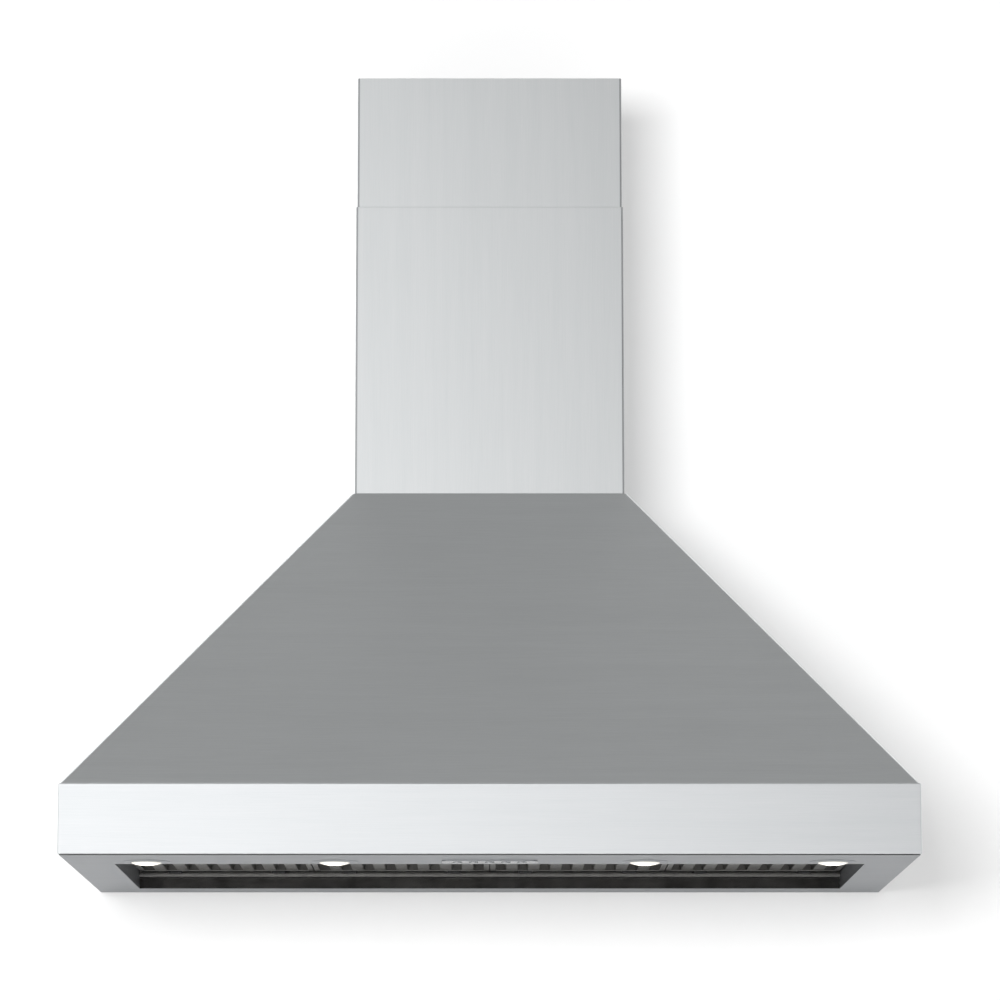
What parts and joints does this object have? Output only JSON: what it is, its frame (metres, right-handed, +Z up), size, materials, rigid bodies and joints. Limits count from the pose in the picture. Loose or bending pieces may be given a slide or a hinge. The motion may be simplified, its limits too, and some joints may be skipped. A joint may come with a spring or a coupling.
{
  "type": "chimney range hood",
  "caption": "Wall-mounted stainless steel range hood with pyramid canopy, straight skirt, telescoping chimney, baffle filters, lamps, push buttons and an inside blower.",
  "frame": {"origin": "on the rear panel's wall face, in the middle of its width, on the hanging line 480 mm above the underside", "axes": "+X to the right of a person who faces the hood, +Y into the wall, +Z up; the hood stands out of the wall towards -Y"},
  "size_m": [1.2192, 0.6858, 1.2244],
  "materials": {
    "brushed_steel": "satin, fine brushed",
    "frame_steel": "satin, fine brushed",
    "filter_steel": "satin",
    "polished_steel": "polished",
    "galvanised_steel": "zinc coated, matte",
    "black_enamel": "semi-matte",
    "black_plastic": "moulded, matte",
    "lamp_lens": "frosted",
    "magnet": "matte"
  },
  "bodies": {
    "hood": {"canopy_shell": "brushed_steel", "skirt_band": "brushed_steel", "chimney_lower_cover": "brushed_steel", "bottom_frame": "frame_steel", "gutter_rail": "frame_steel", "front_rail": "frame_steel", "lamp_bezel_1": "polished_steel", "lamp_bezel_2": "polished_steel", "lamp_bezel_3": "polished_steel", "lamp_bezel_4": "polished_steel", "control_bezel": "polished_steel", "damper_pin": "polished_steel", "magnet_catch_1": "magnet", "magnet_catch_2": "magnet", "magnet_catch_3": "magnet", "magnet_catch_4": "magnet", "lamp_lens_1": "lamp_lens", "lamp_lens_2": "lamp_lens", "lamp_lens_3": "lamp_lens", "lamp_lens_4": "lamp_lens", "lamp_can_1": "black_enamel", "lamp_can_2": "black_enamel", "lamp_can_3": "black_enamel", "lamp_can_4": "black_enamel", "motor": "black_enamel", "control_housing": "black_plastic", "electronics_cover": "black_plastic", "rear_panel": "galvanised_steel", "hang_bracket_left": "galvanised_steel", "hang_bracket_right": "galvanised_steel", "top_plate": "galvanised_steel", "duct_collar": "galvanised_steel", "blower_scroll": "galvanised_steel", "blower_side_left": "galvanised_steel", "blower_side_right": "galvanised_steel", "motor_mount": "galvanised_steel", "electronics_tray": "galvanised_steel", "junction_box": "galvanised_steel"},
    "upper_chimney": {"chimney_upper_cover": "brushed_steel", "chimney_bracket": "galvanised_steel", "cover_screw_left": "polished_steel", "cover_screw_right": "polished_steel"},
    "fan": {"fan_wheel": "galvanised_steel", "motor_shaft": "polished_steel"},
    "damper_front": {"damper_flap_front": "galvanised_steel"},
    "damper_back": {"damper_flap_back": "galvanised_steel"},
    "filter_1": {"baffle_filter_1": "filter_steel", "filter_handle_1": "polished_steel"},
    "filter_2": {"baffle_filter_2": "filter_steel", "filter_handle_2": "polished_steel"},
    "filter_3": {"baffle_filter_3": "filter_steel", "filter_handle_3": "polished_steel"},
    "filter_4": {"baffle_filter_4": "filter_steel", "filter_handle_4": "polished_steel"},
    "push_button_1": {"button_1": "polished_steel"},
    "push_button_2": {"button_2": "polished_steel"},
    "push_button_3": {"button_3": "polished_steel"},
    "push_button_4": {"button_4": "polished_steel"},
    "push_button_5": {"button_5": "polished_steel"}
  },
  "joints": [
    {"name": "chimney_slide", "type": "slide", "parent": "hood", "child": "upper_chimney", "axis": [0, 0, 1], "range_m": [-0.17, 0.2]},
    {"name": "filter_1_drop", "type": "hinge", "parent": "hood", "child": "filter_1", "pos_m": [-0.405, -0.0917, -0.4577], "axis": [1, 0, 0], "range_deg": [0, 60]},
    {"name": "filter_2_drop", "type": "hinge", "parent": "hood", "child": "filter_2", "pos_m": [-0.135, -0.0917, -0.4577], "axis": [1, 0, 0], "range_deg": [0, 60]},
    {"name": "filter_3_drop", "type": "hinge", "parent": "hood", "child": "filter_3", "pos_m": [0.135, -0.0917, -0.4577], "axis": [1, 0, 0], "range_deg": [0, 60]},
    {"name": "filter_4_drop", "type": "hinge", "parent": "hood", "child": "filter_4", "pos_m": [0.405, -0.0917, -0.4577], "axis": [1, 0, 0], "range_deg": [0, 60]},
    {"name": "wheel_spin", "type": "hinge", "parent": "hood", "child": "fan", "pos_m": [0, -0.291, -0.1], "axis": [1, 0, 0], "continuous": true},
    {"name": "damper_front_swing", "type": "hinge", "parent": "hood", "child": "damper_front", "pos_m": [0, -0.171, 0.125], "axis": [-1, 0, 0], "range_deg": [0, 80]},
    {"name": "damper_back_swing", "type": "hinge", "parent": "hood", "child": "damper_back", "pos_m": [0, -0.171, 0.125], "axis": [1, 0, 0], "range_deg": [0, 80]},
    {"name": "button_1_press", "type": "slide", "parent": "hood", "child": "push_button_1", "axis": [0, 0, 1], "range_m": [0, 0.0012], "stiffness_N_per_m": 600, "springref_m": -0.001},
    {"name": "button_2_press", "type": "slide", "parent": "hood", "child": "push_button_2", "axis": [0, 0, 1], "range_m": [0, 0.0012], "stiffness_N_per_m": 600, "springref_m": -0.001},
    {"name": "button_3_press", "type": "slide", "parent": "hood", "child": "push_button_3", "axis": [0, 0, 1], "range_m": [0, 0.0012], "stiffness_N_per_m": 600, "springref_m": -0.001},
    {"name": "button_4_press", "type": "slide", "parent": "hood", "child": "push_button_4", "axis": [0, 0, 1], "range_m": [0, 0.0012], "stiffness_N_per_m": 600, "springref_m": -0.001},
    {"name": "button_5_press", "type": "slide", "parent": "hood", "child": "push_button_5", "axis": [0, 0, 1], "range_m": [0, 0.0012], "stiffness_N_per_m": 600, "springref_m": -0.001}
  ]
}
